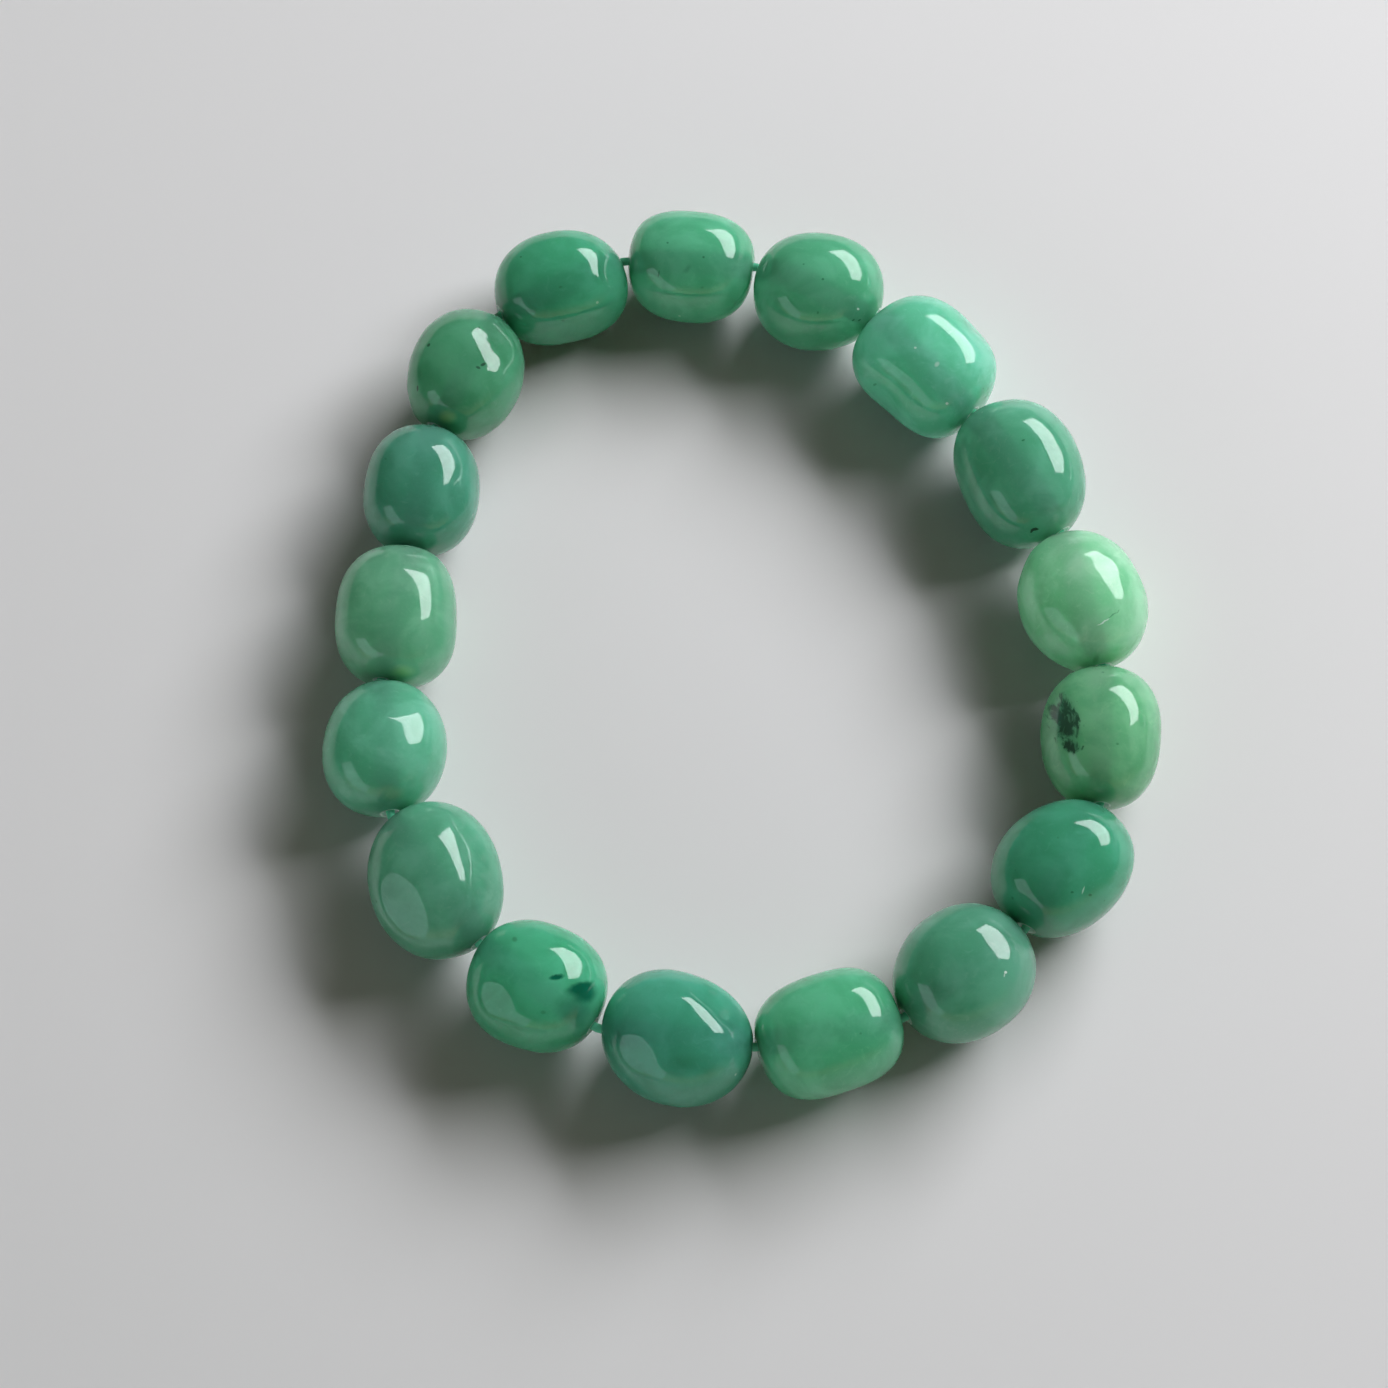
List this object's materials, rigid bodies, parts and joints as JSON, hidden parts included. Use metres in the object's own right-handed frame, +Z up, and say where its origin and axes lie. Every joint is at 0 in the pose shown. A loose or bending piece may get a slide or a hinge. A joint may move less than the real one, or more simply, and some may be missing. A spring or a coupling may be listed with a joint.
{
  "type": "gemstone bead bracelet",
  "caption": "Stretch bracelet of polished tumbled green stones, drilled end to end and strung on a thin clear elastic cord into one closed loop that lies flat.",
  "frame": {"origin": "on the surface that the bracelet lies on, under the middle of the loop", "axes": "+Z up, through the loop as a wrist goes; +Y along the longer way across the loop; +X across it"},
  "size_m": [0.0672, 0.0784, 0.0099],
  "materials": {
    "deep_green_stone": "polished, slightly translucent",
    "mid_green_stone": "polished, slightly translucent",
    "pale_green_stone": "polished, slightly translucent",
    "clear_elastic": "clear and glossy"
  },
  "bodies": {
    "root": {"bead_01": "deep_green_stone", "bead_02": "mid_green_stone", "bead_03": "mid_green_stone", "bead_04": "pale_green_stone", "bead_05": "deep_green_stone", "bead_06": "pale_green_stone", "bead_07": "pale_green_stone", "bead_08": "deep_green_stone", "bead_09": "deep_green_stone", "bead_10": "mid_green_stone", "bead_11": "mid_green_stone", "bead_12": "pale_green_stone", "bead_13": "pale_green_stone", "bead_14": "mid_green_stone", "bead_15": "mid_green_stone", "bead_16": "deep_green_stone", "bead_17": "mid_green_stone", "elastic_cord": "clear_elastic"}
  },
  "joints": []
}
